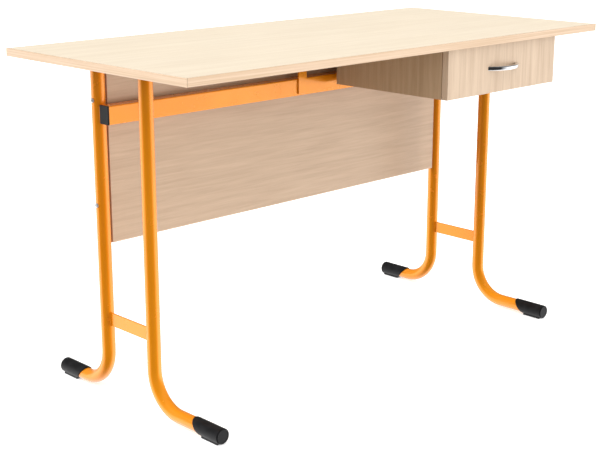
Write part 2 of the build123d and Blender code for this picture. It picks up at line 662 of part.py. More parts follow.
for side_name, side in SIDES.items():
    with BuildPart() as cabinet_runner:
        start_y = CARCASS_FRONT + RUNNER_SETBACK
        with BuildSketch(across_y(start_y)):
            web = (bay_x(side, 0), bay_x(side, RUNNER_SHEET))
            rectangle_between(web, (RUNNER_Z, LIP_Z + RUNNER_SHEET))
            channel = (bay_x(side, 0), bay_x(side, CHANNEL_REACH))
            rectangle_between(channel, (RUNNER_Z, RUNNER_Z + RUNNER_SHEET))
            lip = (bay_x(side, 0), bay_x(side, LIP_REACH))
            rectangle_between(lip, (LIP_Z, LIP_Z + RUNNER_SHEET))
        extrude(amount=-RUNNER_LENGTH)
        heads = [(bay_x(side, RUNNER_SHEET), y, RUNNER_SCREW_Z) for y in RUNNER_SCREW_YS]
        drill(heads, (side, 0, 0), RUNNER_SCREW[0], RUNNER_SHEET)
        pin_hole = [(bay_x(side, RUNNER_SHEET), CABINET_ROLLER_Y, ROLLER_Z)]
        drill(pin_hole, (side, 0, 0), ROLLER_PIN_RADIUS, RUNNER_SHEET)
    save(cabinet_runner, f"cabinet_runner_{side_name}")

    with BuildPart() as drawer_runner:
        outer = bay_x(side, DRAWER_LEG_DEPTH)
        with BuildSketch(across_y(start_y)):
            inner = bay_x(side, RUNNER_GAP)
            rectangle_between((outer, inner), (DRAWER_RUNNER_Z, TRACK_Z + RUNNER_SHEET))
            track_edge = bay_x(side, RUNNER_GAP - TRACK_GAP)
            rectangle_between((track_edge, inner), (TRACK_Z, TRACK_Z + RUNNER_SHEET))
            ledge_edge = bay_x(side, RUNNER_GAP + LEDGE)
            rectangle_between((outer, ledge_edge), (DRAWER_RUNNER_Z, DRAWER_BASE))
        extrude(amount=-DRAWER_RUNNER_LENGTH)
        drill(LEDGE_SCREWS[side], UP, RUNNER_SCREW[0], RUNNER_SHEET)
        pin_hole = [(outer, DRAWER_ROLLER_Y, ROLLER_Z)]
        drill(pin_hole, (-side, 0, 0), ROLLER_PIN_RADIUS, RUNNER_SHEET)
    save(drawer_runner, f"drawer_runner_{side_name}")

    make_roller(f"cabinet_roller_{side_name}", side, CABINET_ROLLER_DEPTH, CABINET_ROLLER_Y)
    make_roller(f"drawer_roller_{side_name}", side, DRAWER_ROLLER_DEPTH, DRAWER_ROLLER_Y)

cabinet_cap_depth = CABINET_ROLLER_DEPTH + ROLLER_WIDTH + ROLLER_PIN_GAP
make_roller_pins("cabinet_roller_pins", CABINET_ROLLER_Y, 0, cabinet_cap_depth)
drawer_cap_depth = DRAWER_ROLLER_DEPTH - ROLLER_PIN_GAP
make_roller_pins("drawer_roller_pins", DRAWER_ROLLER_Y, RUNNER_GAP, drawer_cap_depth)

CABINET_SEATS = [
    ((bay_x(side, RUNNER_SHEET), y, RUNNER_SCREW_Z), (-side, 0, 0))
    for side in SIDES.values()
    for y in RUNNER_SCREW_YS
]
make_screws(
    "cabinet_runner_screws", CABINET_SEATS, RUNNER_SCREW, RUNNER_SCREW_HEAD, RUNNER_DRIVE
)
ledge_seats = facing(LEDGE_SCREWS[-1] + LEDGE_SCREWS[1], DOWN)
make_screws("drawer_runner_screws", ledge_seats, RUNNER_SCREW, LEDGE_SCREW_HEAD, RUNNER_DRIVE)

# ---- Drawer box, facia and handle ---------------------------------------------------------------------

BOX_SCREW_YS = (FACIA_REAR + BOARD / 2, DRAWER_REAR - BOARD / 2)
FACIA_SCREWS = [
    (FACIA_CENTRE_X + offset, INNER_FRONT_REAR, z)
    for offset in FACIA_SCREW_OFFSETS
    for z in FACIA_SCREW_ZS
]
HANDLE_SCREW = (2, 2 * BOARD + HANDLE_SCREW_BITE)
HANDLE_SCREWS = [
    (FACIA_CENTRE_X + offset, INNER_FRONT_REAR, HANDLE_Z)
    for offset in (-HANDLE_HOLE_HALF, HANDLE_HOLE_HALF)
]
BOTTOM_GROOVE_Z = (DRAWER_FLOOR - GROOVE_SLACK, DRAWER_FLOOR + HARDBOARD + GROOVE_SLACK)


def drawer_x(side, depth):
    """X at a depth inwards from the drawer box's outer face, on one side of the box."""
    return FACIA_CENTRE_X + side * (DRAWER_HALF - depth)


for side_name, side in SIDES.items():
    with BuildPart() as drawer_side:
        block(
            (drawer_x(side, 0), drawer_x(side, BOARD)),
            (FACIA_REAR, DRAWER_REAR),
            (DRAWER_BASE, DRAWER_TOP),
        )
        block(
            (drawer_x(side, BOARD - GROOVE), drawer_x(side, BOARD)),
            (FACIA_REAR + BOARD - GROOVE, DRAWER_REAR - BOARD + GROOVE),
            BOTTOM_GROOVE_Z,
            Mode.SUBTRACT,
        )
        heads = [(drawer_x(side, 0), y, z) for y in BOX_SCREW_YS for z in BOX_SCREW_ZS]
        drill(heads, (-side, 0, 0), *BOX_SCREW_HEAD)
        drill(heads, (-side, 0, 0), BOX_SCREW[0], BOARD)
        drill(LEDGE_SCREWS[side], UP, *RUNNER_SCREW)
    save(drawer_side, f"drawer_side_{side_name}")

BOX_SEATS = [
    ((drawer_x(side, BOX_SCREW_HEAD[1]), y, z), (side, 0, 0))
    for side in SIDES.values()
    for y in BOX_SCREW_YS
    for z in BOX_SCREW_ZS
]
make_screws("drawer_box_screws", BOX_SEATS, BOX_SCREW, BOX_SCREW_HEAD, BOX_DRIVE)


def cross_board(y_span, groove_y):
    """The drawer box's front or back board, grooved for the bottom and bored for its screws."""
    ends = (drawer_x(-1, BOARD), drawer_x(1, BOARD))
    block(ends, y_span, (DRAWER_BASE, DRAWER_TOP))
    block(ends, groove_y, BOTTOM_GROOVE_Z, Mode.SUBTRACT)
    bite = BOX_SCREW[1] - (BOARD - BOX_SCREW_HEAD[1])
    for side in SIDES.values():
        places = [(drawer_x(side, BOARD), sum(y_span) / 2, z) for z in BOX_SCREW_ZS]
        drill(places, (-side, 0, 0), BOX_SCREW[0], bite)


with BuildPart() as drawer_inner_front:
    cross_board((FACIA_REAR, INNER_FRONT_REAR), (INNER_FRONT_REAR - GROOVE, INNER_FRONT_REAR))
    drill(FACIA_SCREWS, (0, -1, 0), FACIA_SCREW[0], BOARD)
    drill(HANDLE_SCREWS, (0, -1, 0), HANDLE_SCREW[0], BOARD)
save(drawer_inner_front, "drawer_inner_front")

with BuildPart() as drawer_back:
    inner = DRAWER_REAR - BOARD
    cross_board((inner, DRAWER_REAR), (inner, inner + GROOVE))
save(drawer_back, "drawer_back")

with BuildPart() as drawer_bottom:
    tongue = GROOVE - GROOVE_SLACK
    block(
        (drawer_x(-1, BOARD - tongue), drawer_x(1, BOARD - tongue)),
        (INNER_FRONT_REAR - tongue, DRAWER_REAR - BOARD + tongue),
        (DRAWER_FLOOR, DRAWER_FLOOR + HARDBOARD),
    )
save(drawer_bottom, "drawer_bottom")

with BuildPart() as drawer_facia:
    facia_half = FACIA_WIDTH / 2
    block(
        (FACIA_CENTRE_X - facia_half, FACIA_CENTRE_X + facia_half),
        (FACIA_FRONT, FACIA_REAR),
        FACIA_Z,
    )
    chamfer(drawer_facia.faces().sort_by(Axis.Y)[0].edges(), BAND_CHAMFER)
    facia_screw_mouths = [(x, FACIA_REAR, z) for x, _, z in FACIA_SCREWS]
    drill(facia_screw_mouths, (0, -1, 0), FACIA_SCREW[0], FACIA_SCREW_BITE)
    drill([(x, FACIA_REAR, z) for x, _, z in HANDLE_SCREWS], (0, -1, 0), HANDLE_SCREW[0], BOARD)
save(drawer_facia, "drawer_facia")

REARWARD = (0, 1, 0)
make_screws("facia_screws", facing(FACIA_SCREWS, REARWARD), FACIA_SCREW, PAN_HEAD, SMALL_DRIVE)
handle_seats = facing(HANDLE_SCREWS, REARWARD)
make_screws("handle_screws", handle_seats, HANDLE_SCREW, HANDLE_SCREW_HEAD, HANDLE_DRIVE)

with BuildPart() as drawer_handle:
    crest = FACIA_FRONT - HANDLE_REACH
    left_tip = FACIA_CENTRE_X - HANDLE_HALF_LENGTH
    right_tip = FACIA_CENTRE_X + HANDLE_HALF_LENGTH
    left_root = FACIA_CENTRE_X - HANDLE_INNER_HALF
    right_root = FACIA_CENTRE_X + HANDLE_INNER_HALF
    with BuildSketch(Plane.XY.offset(HANDLE_Z - HANDLE_HEIGHT / 2)):
        with BuildLine():
            bow = ThreePointArc(
                (left_tip, FACIA_FRONT), (FACIA_CENTRE_X, crest), (right_tip, FACIA_FRONT)
            )
            Line(bow @ 1, (right_root, FACIA_FRONT))
            grip = ThreePointArc(
                (right_root, FACIA_FRONT),
                (FACIA_CENTRE_X, crest + HANDLE_THICKNESS),
                (left_root, FACIA_FRONT),
            )
            Line(grip @ 1, bow @ 0)
        make_face()
    extrude(amount=HANDLE_HEIGHT)
    by_length = drawer_handle.edges().filter_by(GeomType.CIRCLE).sort_by(SortBy.LENGTH)
    fillet(by_length[:2], HANDLE_INNER_FILLET)
    by_length = drawer_handle.edges().filter_by(GeomType.CIRCLE).sort_by(SortBy.LENGTH)
    fillet(by_length[-2:], HANDLE_OUTER_FILLET)
    drill(
        [(x, FACIA_FRONT, z) for x, _, z in HANDLE_SCREWS],
        (0, -1, 0),
        HANDLE_SCREW[0],
        HANDLE_SCREW_BITE + HANDLE_SCREW_SLACK,
    )
save(drawer_handle, "drawer_handle")
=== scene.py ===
"""Finishes, welds, moulded parts and studio for the school teacher's desk.

Everything is in metres in the desk's own axes: +X to the sitter's right, +Y away from the
sitter, +Z up from the floor.
"""
import json
import math

import bmesh
import bpy
from mathutils import Matrix, Vector


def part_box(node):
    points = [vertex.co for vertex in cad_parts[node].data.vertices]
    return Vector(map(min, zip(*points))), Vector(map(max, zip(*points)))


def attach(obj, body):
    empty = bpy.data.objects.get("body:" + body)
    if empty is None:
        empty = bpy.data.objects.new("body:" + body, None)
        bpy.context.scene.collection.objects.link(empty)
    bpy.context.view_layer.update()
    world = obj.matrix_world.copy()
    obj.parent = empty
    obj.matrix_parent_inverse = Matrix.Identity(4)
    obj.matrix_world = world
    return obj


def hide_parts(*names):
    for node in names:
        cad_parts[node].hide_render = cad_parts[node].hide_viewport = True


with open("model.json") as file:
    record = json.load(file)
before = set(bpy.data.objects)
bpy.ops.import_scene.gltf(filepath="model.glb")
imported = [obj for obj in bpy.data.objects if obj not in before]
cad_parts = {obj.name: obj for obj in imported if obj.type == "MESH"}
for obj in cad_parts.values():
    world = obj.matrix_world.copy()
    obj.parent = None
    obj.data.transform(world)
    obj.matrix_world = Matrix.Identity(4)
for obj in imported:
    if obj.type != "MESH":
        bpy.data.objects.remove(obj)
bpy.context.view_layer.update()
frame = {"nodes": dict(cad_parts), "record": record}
nodes = frame["nodes"]

MM = 0.001
SIDES = ("left", "right")
CORNERS = ("front_left", "front_right", "rear_left", "rear_right")
WHITE = (1, 1, 1, 1)


# ---- Camera and studio --------------------------------------------------------------------

CAMERA_PLACE = (-2.05457, -2.0328, 1.08933)
CAMERA_TILT = math.radians(74.73)
CAMERA_TURN = math.radians(-44.11)
CAMERA_LENS = 75.49
CAMERA_SENSOR = 36

# Directions whose dot product with this is high lie behind the camera.
BEHIND_CAMERA = Vector((-0.70, -0.69, -0.15)).normalized()

FLOOR_SIZE = 60
FLOOR_DROP = 0.4 * MM
FLOOR_GREY = (0.82, 0.82, 0.82, 1)
FLOOR_GLOW = 0.5


def place_camera():
    """The camera stands to the front left of the desk, a little above its top."""
    data = bpy.data.cameras.new("camera")
    data.sensor_width = CAMERA_SENSOR
    data.lens = CAMERA_LENS
    camera = bpy.data.objects.new("camera", data)
    camera.location = CAMERA_PLACE
    camera.rotation_euler = (CAMERA_TILT, 0, CAMERA_TURN)
    bpy.context.scene.collection.objects.link(camera)
    bpy.context.scene.camera = camera


def add_sun(name, strength, spread, height, bearing):
    """A wide soft light that polished parts don't mirror. Height is degrees above the floor,
    and bearing is degrees from +Y towards +X, of where it shines from."""
    data = bpy.data.lights.new(name, "SUN")
    data.energy = strength
    data.angle = math.radians(spread)
    sun = bpy.data.objects.new(name, data)
    sun.rotation_euler = (math.radians(90 - height), 0, math.radians(180 - bearing))
    sun.visible_glossy = False
    bpy.context.scene.collection.objects.link(sun)


def sky_ramp(tree, factor, positions, levels):
    """The room's light level, ramped between two positions on a factor."""
    ramp = tree.nodes.new("ShaderNodeMapRange")
    for name, value in zip(("From Min", "From Max", "To Min", "To Max"), (*positions, *levels)):
        ramp.inputs[name].default_value = value
    tree.links.new(factor, ramp.inputs["Value"])
    return ramp.outputs[0]


def sky_product(tree, first, second):
    """Two light levels multiplied."""
    product = tree.nodes.new("ShaderNodeMath")
    product.operation = "MULTIPLY"
    tree.links.new(first, product.inputs[0])
    tree.links.new(second, product.inputs[1])
    return product.outputs[0]


def build_sky():
    """The room: white to look at, lighter from its walls and ceiling than from its floor, and
    in what glossy parts mirror, bright below and dim above and behind the camera."""
    world = bpy.data.worlds.new("studio")
    world.use_nodes = True
    bpy.context.scene.world = world
    tree = world.node_tree
    direction = tree.nodes.new("ShaderNodeTexCoord").outputs["Generated"]
    parts = tree.nodes.new("ShaderNodeSeparateXYZ")
    tree.links.new(direction, parts.inputs[0])
    height = parts.outputs["Z"]
    along = tree.nodes.new("ShaderNodeVectorMath")
    along.operation = "DOT_PRODUCT"
    along.inputs[1].default_value = BEHIND_CAMERA
    tree.links.new(direction, along.inputs[0])
    facing = along.outputs["Value"]

    ambient = sky_ramp(tree, height, positions=(-0.02, 0.02), levels=(0.58, 1.0))
    below_above = sky_ramp(tree, height, positions=(-0.05, 0.15), levels=(2.0, 0.35))
    behind = sky_ramp(tree, facing, positions=(0.1, 0.65), levels=(1.0, 0.02))
    ahead = sky_ramp(tree, facing, positions=(-0.95, -0.3), levels=(0.45, 1.0))
    mirrored = sky_product(tree, sky_product(tree, below_above, behind), ahead)

    rays = tree.nodes.new("ShaderNodeLightPath")
    lighting = tree.nodes.new("ShaderNodeMix")
    tree.links.new(rays.outputs["Is Glossy Ray"], lighting.inputs["Factor"])
    tree.links.new(ambient, lighting.inputs["A"])
    tree.links.new(mirrored, lighting.inputs["B"])
    seen = tree.nodes.new("ShaderNodeMix")
    tree.links.new(rays.outputs["Is Camera Ray"], seen.inputs["Factor"])
    tree.links.new(lighting.outputs[0], seen.inputs["A"])
    seen.inputs["B"].default_value = 1
    background = tree.nodes["Background"]
    tree.links.new(seen.outputs[0], background.inputs["Strength"])
    background.inputs["Color"].default_value = WHITE


def light_studio():
    """The room's own light, and three soft lights over and beside the desk."""
    build_sky()
    add_sun("overhead_light", strength=1.25, spread=80, height=72, bearing=215)
    add_sun("right_hand_light", strength=1.85, spread=40, height=-8, bearing=138)
    add_sun("left_hand_light", strength=2.4, spread=40, height=25, bearing=315)
    bpy.context.scene.view_settings.view_transform = "Standard"


def lay_floor():
    """A plain white studio floor, lit evenly enough that only a faint shadow shows. The room's
    own light stands in for what it would bounce back."""
    mesh = bpy.data.meshes.new("studio_floor")
    sheet = bmesh.new()
    bmesh.ops.create_grid(sheet, x_segments=1, y_segments=1, size=FLOOR_SIZE / 2)
    bmesh.ops.translate(sheet, vec=(0, 0, -FLOOR_DROP), verts=sheet.verts)
    sheet.to_mesh(mesh)
    sheet.free()
    floor = bpy.data.objects.new("studio_floor", mesh)
    floor.visible_glossy = False
    floor.visible_diffuse = False
    floor.visible_shadow = False
    bpy.context.scene.collection.objects.link(floor)
    finish = Finish("studio_white", roughness=0.8)
    finish.set("Base Color", FLOOR_GREY)
    finish.set("Emission Color", WHITE)
    finish.set("Emission Strength", FLOOR_GLOW)
    mesh.materials.append(finish.material)


# ---- Finishes -----------------------------------------------------------------------------

# Cycles of the wood decor per metre, along the grain and across it.
FIGURE_GRAIN = (1.8, 36)
STREAK_GRAIN = (9, 230)
PORE_GRAIN = (22, 1100)

FIGURE_SHARE = 0.55
DECOR_SPREAD = 0.13
PORE_SHADE = 0.72

# The glue line under an edge band darkens between these distances inside the board's edge,
# and the joint between two bands between these distances inside the long band's end.
GLUE_LINE = (0.16, 0.10, 0.055, 1)
GLUE_REACH = (0.8 * MM, 0.5 * MM)
JOINT_REACH = (0.9 * MM, 0.5 * MM)


class Finish:
    """A material under construction: its node tree, its shader and short ways to wire them."""

    def __init__(self, name, roughness=0.5):
        self.material = bpy.data.materials.new(name)
        self.material.use_nodes = True
        self.tree = self.material.node_tree
        self.shader = self.tree.nodes["Principled BSDF"]
        self.set("Roughness", roughness)

    def set(self, socket, value):
        self.shader.inputs[socket].default_value = value

    def link(self, output, socket):
        self.tree.links.new(output, self.shader.inputs[socket])

    def node(self, kind, output=0, settings=None, **inputs):
        """Add a node. Inputs are given by name, with _ for a space, or by _ and a number, as
        values or as another node's output, and settings are the node's own properties."""
        made = self.tree.nodes.new(kind)
        for key, value in (settings or {}).items():
            setattr(made, key, value)
        for key, value in inputs.items():
            socket = made.inputs[int(key[1:]) if key[1:].isdigit() else key.replace("_", " ")]
            if isinstance(value, bpy.types.NodeSocket):
                self.tree.links.new(value, socket)
            else:
                socket.default_value = value
        return made.outputs[output]

    def coordinates(self, scale=(1, 1, 1), shift=(0, 0, 0)):
        """Object coordinates, stretched and shifted."""
        own = self.node("ShaderNodeTexCoord", "Object")
        return self.node("ShaderNodeMapping", Vector=own, Scale=scale, Location=shift)

    def grain(self, axis, cycles, shift=(0, 0, 0), fineness=1.0):
        """Object coordinates stretched so that a pattern runs along one axis."""
        along, across = (fineness * cycle for cycle in cycles)
        return self.coordinates(tuple(along if name == axis else across for name in "XYZ"), shift)

    def separate(self, vector):
        """A vector's X, Y and Z."""
        parts = self.tree.nodes.new("ShaderNodeSeparateXYZ")
        self.tree.links.new(vector, parts.inputs[0])
        return parts.outputs

    def noise(self, vector, scale=1.0, detail=2.0, roughness=0.5, distortion=0.0):
        return self.node(
            "ShaderNodeTexNoise",
            Vector=vector,
            Scale=scale,
            Detail=detail,
            Roughness=roughness,
            Distortion=distortion,
        )

    def ramp(self, factor, low, high, low_colour, high_colour):
        """A two-stop colour ramp between two positions."""
        made = self.tree.nodes.new("ShaderNodeValToRGB")
        stops = made.color_ramp.elements
        stops[0].position, stops[0].color = low, (*low_colour, 1)
        stops[1].position, stops[1].color = high, (*high_colour, 1)
        self.tree.links.new(factor, made.inputs["Fac"])
        return made.outputs["Color"]

    def grey_ramp(self, factor, low, high, low_value=0.0, high_value=1.0):
        return self.node(
            "ShaderNodeMapRange",
            Value=factor,
            From_Min=low,
            From_Max=high,
            To_Min=low_value,
            To_Max=high_value,
        )

    def mix(self, factor, first, second):
        return self.node("ShaderNodeMixRGB", Fac=factor, Color1=first, Color2=second)

    def math(self, operation, first, second=0.0):
        return self.node("ShaderNodeMath", settings={"operation": operation}, _0=first, _1=second)

    def blend(self, first, share, second, other_share):
        """A weighted sum of two patterns."""
        weighted = self.math("MULTIPLY", first, share)
        return self.math("ADD", weighted, self.math("MULTIPLY", second, other_share))

    def bump(self, height, distance, strength=1.0):
        normal = self.node("ShaderNodeBump", Height=height, Distance=distance, Strength=strength)
        self.link(normal, "Normal")


def wood_decor(name, axis, pale, deep, roughness=0.4, contrast=1.0, shift=(0, 0, 0), fineness=1.0):
    """Printed wood decor whose grain runs along one axis. It has a broad figure, fine streaks
    and short pores, and a satin resin surface pressed with the same pores."""
    finish = Finish(name)
    figure_place = finish.grain(axis, FIGURE_GRAIN, shift, fineness)
    figure = finish.noise(figure_place, detail=3, roughness=0.5, distortion=0.4)
    streak_place = finish.grain(axis, STREAK_GRAIN, shift)
    streaks = finish.noise(streak_place, detail=5, roughness=0.6, distortion=0.2)
    pores = finish.noise(finish.grain(axis, PORE_GRAIN, shift), detail=2, roughness=0.5)
    shade = finish.blend(figure, FIGURE_SHARE, streaks, 1 - FIGURE_SHARE)
    half = DECOR_SPREAD / contrast
    colour = finish.ramp(shade, 0.5 - half, 0.5 + half, deep, pale)
    fleck = finish.grey_ramp(pores, 0.60, 0.74, 0.0, 0.35)
    pore_colour = tuple(channel * PORE_SHADE for channel in deep)
    finish.link(finish.mix(fleck, colour, (*pore_colour, 1)), "Base Color")
    wear = finish.noise(finish.coordinates(), scale=7, detail=2)
    unevenness = finish.blend(wear, 0.10, pores, 0.08)
    finish.link(finish.math("ADD", unevenness, roughness - 0.09), "Roughness")
    finish.bump(finish.math("SUBTRACT", streaks, fleck), 0.12 * MM, 0.35)
    return finish


def desktop_laminate():
    """Pale maple decor along the top, with the thin dark glue line just inside its bands."""
    pale, deep = (0.765, 0.665, 0.52), (0.705, 0.60, 0.455)
    finish = wood_decor("desktop_laminate", "X", pale, deep, fineness=1.6)
    decor = finish.shader.inputs["Base Color"].links[0].from_socket
    low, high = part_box("desktop_board")
    middle, reach = (low + high) / 2, (high - low) / 2
    place = finish.separate(finish.coordinates(shift=(-middle.x, -middle.y, 0)))
    past_end = finish.math("SUBTRACT", finish.math("ABSOLUTE", place["X"]), reach.x)
    past_side = finish.math("SUBTRACT", finish.math("ABSOLUTE", place["Y"]), reach.y)
    starts, full = GLUE_REACH
    rim = finish.grey_ramp(finish.math("MAXIMUM", past_end, past_side), -starts, -full)
    finish.link(finish.mix(rim, decor, GLUE_LINE), "Base Color")
    return finish.material


def panel_laminate():
    """The modesty panel's decor, grain along the panel, a little glossier than the top."""
    pale, deep = (0.58, 0.418, 0.288), (0.485, 0.338, 0.225)
    return wood_decor(
        "panel_laminate", "X", pale, deep,
        roughness=0.33, contrast=0.9, shift=(3.1, 0, 1.7), fineness=2.4,
    ).material


def front_laminate():
    """The drawer front's decor, grain upright."""
    pale, deep = (0.645, 0.49, 0.35), (0.53, 0.385, 0.265)
    return wood_decor(
        "front_laminate", "Z", pale, deep,
        roughness=0.4, contrast=1.1, shift=(1.3, 0.4, 0), fineness=2.2,
    ).material


def carcass_laminate(name, axis):
    """The drawer housing's decor: grain upright on its sides, and front to back underneath. Its
    colours are darker and warmer than the front's, partly painted shade for the shade and warm
    bounced light under the desktop.
    """
    # Painted shade, in part: darker and warmer than the drawer front's decor, for the shade and
    # warm bounced light under the desktop.
    pale, deep = (0.55, 0.39, 0.245), (0.45, 0.305, 0.18)
    return wood_decor(
        name, axis, pale, deep,
        roughness=0.42, contrast=0.9, shift=(5.2, 2.3, 0), fineness=2.2,
    ).material


def drawer_laminate(name, axis):
    """Pale decor of the drawer box's boards."""
    pale, deep = (0.74, 0.64, 0.50), (0.66, 0.55, 0.41)
    return wood_decor(
        name, axis, pale, deep, roughness=0.45, contrast=0.8, shift=(2.7, 1.9, 0.6)
    ).material


def edge_band(name, axis, joint_at=None):
    """A plastic edge band: fine streaks along it, a satin face, and where it stops against
    the end bands, the dark line of the joint."""
    finish = Finish(name)
    streaks = finish.noise(finish.grain(axis, (3, 420)), detail=4, roughness=0.6)
    colour = finish.ramp(streaks, 0.38, 0.64, (0.61, 0.43, 0.275), (0.74, 0.55, 0.395))
    if joint_at:
        starts, full = JOINT_REACH
        along = finish.math("ABSOLUTE", finish.separate(finish.coordinates())["X"])
        joint = finish.grey_ramp(along, joint_at - starts, joint_at - full)
        colour = finish.mix(joint, colour, GLUE_LINE)
    finish.link(colour, "Base Color")
    scuff = finish.noise(finish.coordinates(), scale=18, detail=3)
    finish.link(finish.grey_ramp(scuff, 0.3, 0.7, 0.34, 0.46), "Roughness")
    finish.bump(streaks, 0.08 * MM, 0.3)
    return finish.material


def frame_paint():
    """Gloss orange powder coat over steel, with a light orange peel."""
    finish = Finish("frame_paint")
    own = finish.coordinates()
    cloud = finish.noise(own, scale=5, detail=2)
    colour = finish.ramp(cloud, 0.35, 0.65, (0.84, 0.262, 0.002), (0.89, 0.297, 0.004))
    grit = finish.grey_ramp(finish.noise(own, scale=1600, detail=1), 0.62, 0.75, 0.0, 0.10)
    finish.link(finish.mix(grit, colour, (0.55, 0.14, 0.002, 1)), "Base Color")
    flow = finish.noise(own, scale=30, detail=3)
    finish.link(finish.grey_ramp(flow, 0.3, 0.7, 0.20, 0.28), "Roughness")
    finish.set("Metallic", 0.25)
    finish.set("Coat Weight", 0.35)
    finish.set("Coat Roughness", 0.06)
    finish.set("Coat IOR", 1.5)
    finish.bump(finish.noise(own, scale=330, detail=2), 0.2 * MM, 0.22)
    return finish.material


def black_plastic():
    """Moulded black plastic with a fine spark-eroded grain and faint scuffs."""
    finish = Finish("black_plastic")
    own = finish.coordinates()
    grain = finish.noise(own, scale=1500, detail=2, roughness=0.6)
    scuff = finish.noise(own, scale=60, detail=4, roughness=0.6)
    colour = finish.ramp(scuff, 0.40, 0.72, (0.006, 0.006, 0.0065), (0.014, 0.014, 0.0155))
    finish.link(colour, "Base Color")
    finish.link(finish.grey_ramp(scuff, 0.3, 0.7, 0.42, 0.56), "Roughness")
    finish.set("Specular IOR Level", 0.22)
    finish.bump(grain, 0.1 * MM, 0.5)
    return finish.material


def chrome():
    """Polished chrome with the faintest haze of handling."""
    finish = Finish("chrome")
    own = finish.coordinates()
    haze = finish.noise(own, scale=45, detail=4, roughness=0.6)
    finish.link(finish.ramp(haze, 0.3, 0.7, (0.74, 0.75, 0.77), (0.82, 0.83, 0.85)), "Base Color")
    finish.set("Metallic", 1.0)
    finish.link(finish.grey_ramp(haze, 0.3, 0.7, 0.04, 0.10), "Roughness")
    finish.bump(finish.noise(own, scale=240, detail=2), 0.02 * MM, 0.3)
    return finish.material


def zinc_plate():
    """Bright zinc plate: mottled, a little cold, and brushed by the driver."""
    finish = Finish("zinc_screw")
    mottle = finish.noise(finish.coordinates(), scale=700, detail=4, roughness=0.65)
    colour = finish.ramp(mottle, 0.3, 0.7, (0.52, 0.54, 0.56), (0.72, 0.73, 0.73))
    finish.link(colour, "Base Color")
    finish.set("Metallic", 0.6)
    finish.link(finish.grey_ramp(mottle, 0.3, 0.7, 0.26, 0.44), "Roughness")
    finish.bump(mottle, 0.04 * MM, 0.4)
    return finish.material


def runner_epoxy():
    """White epoxy powder coat on the drawer runners, slightly textured."""
    finish = Finish("runner_epoxy")
    own = finish.coordinates()
    cloud = finish.noise(own, scale=25, detail=3)
    finish.link(finish.ramp(cloud, 0.3, 0.7, (0.70, 0.70, 0.67), (0.77, 0.77, 0.75)), "Base Color")
    finish.link(finish.grey_ramp(cloud, 0.3, 0.7, 0.32, 0.42), "Roughness")
    finish.bump(finish.noise(own, scale=700, detail=2), 0.08 * MM, 0.4)
    return finish.material


def nylon():
    """Milky nylon of the runner rollers."""
    finish = Finish("nylon")
    cloud = finish.noise(finish.coordinates(), scale=220, detail=3)
    finish.link(finish.ramp(cloud, 0.3, 0.7, (0.72, 0.72, 0.69), (0.80, 0.80, 0.78)), "Base Color")
    finish.set("Subsurface Weight", 0.15)
    finish.set("Subsurface Scale", 2 * MM)
    finish.link(finish.grey_ramp(cloud, 0.3, 0.7, 0.36, 0.46), "Roughness")
    finish.bump(cloud, 0.04 * MM, 0.3)
    return finish.material


def hardboard():
    """Lacquered hardboard: short pressed fibres in every direction."""
    finish = Finish("hardboard")
    own = finish.coordinates()
    fibres = finish.noise(own, scale=420, detail=6, roughness=0.7, distortion=1.5)
    colour = finish.ramp(fibres, 0.34, 0.66, (0.40, 0.27, 0.155), (0.58, 0.43, 0.28))
    finish.link(colour, "Base Color")
    finish.link(finish.grey_ramp(fibres, 0.3, 0.7, 0.45, 0.6), "Roughness")
    finish.bump(fibres, 0.12 * MM, 0.4)
    return finish.material


def beech():
    """Turned beech of the dowels: short brown flecks along the length."""
    finish = Finish("beech", roughness=0.6)
    flecks = finish.noise(finish.grain("X", (140, 900)), detail=3, roughness=0.6)
    colour = finish.ramp(flecks, 0.36, 0.62, (0.42, 0.25, 0.12), (0.62, 0.42, 0.24))
    finish.link(colour, "Base Color")
    finish.bump(flecks, 0.1 * MM, 0.4)
    return finish.material


def soft_pad():
    """Soft translucent bumper pads."""
    finish = Finish("soft_pad")
    cloud = finish.noise(finish.coordinates(), scale=500, detail=3)
    finish.link(finish.ramp(cloud, 0.3, 0.7, (0.50, 0.50, 0.48), (0.60, 0.60, 0.58)), "Base Color")
    finish.set("Subsurface Weight", 0.3)
    finish.set("Subsurface Scale", MM)
    finish.link(finish.grey_ramp(cloud, 0.3, 0.7, 0.4, 0.55), "Roughness")
    finish.bump(cloud, 0.05 * MM, 0.3)
    return finish.material


def make_finishes():
    """Every finish by its own name."""
    band_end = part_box("edge_band_front")[1].x
    return {
        "desktop_laminate": desktop_laminate(),
        "panel_laminate": panel_laminate(),
        "front_laminate": front_laminate(),
        "carcass_laminate": carcass_laminate("carcass_laminate", "Z"),
        "carcass_floor_laminate": carcass_laminate("carcass_floor_laminate", "Y"),
        "drawer_side_laminate": drawer_laminate("drawer_side_laminate", "Y"),
        "drawer_cross_laminate": drawer_laminate("drawer_cross_laminate", "X"),
        "long_band": edge_band("long_band", "X", band_end),
        "end_band": edge_band("end_band", "Y"),
        "panel_band": edge_band("panel_band", "X"),
        "frame_paint": frame_paint(),
        "black_plastic": black_plastic(),
        "chrome": chrome(),
        "zinc_screw": zinc_plate(),
        "runner_epoxy": runner_epoxy(),
        "nylon": nylon(),
        "hardboard": hardboard(),
        "beech": beech(),
        "soft_pad": soft_pad(),
    }


# Boards and bands whose finish has to follow their own grain. The rest wear their slot's.
BY_NODE = {
    "edge_band_front": "long_band",
    "edge_band_rear": "long_band",
    "edge_band_left": "end_band",
    "edge_band_right": "end_band",
    "panel_edge_band": "panel_band",
    "carcass_bottom": "carcass_floor_laminate",
    "drawer_side_left": "drawer_side_laminate",
    "drawer_side_right": "drawer_side_laminate",
    "drawer_inner_front": "drawer_cross_laminate",
    "drawer_back": "drawer_cross_laminate",
}


def finish_frame(finishes, slots):
    """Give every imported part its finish."""
    for name, part in nodes.items():
        part.data.materials.clear()
        part.data.materials.append(finishes[BY_NODE.get(name, slots[name])])


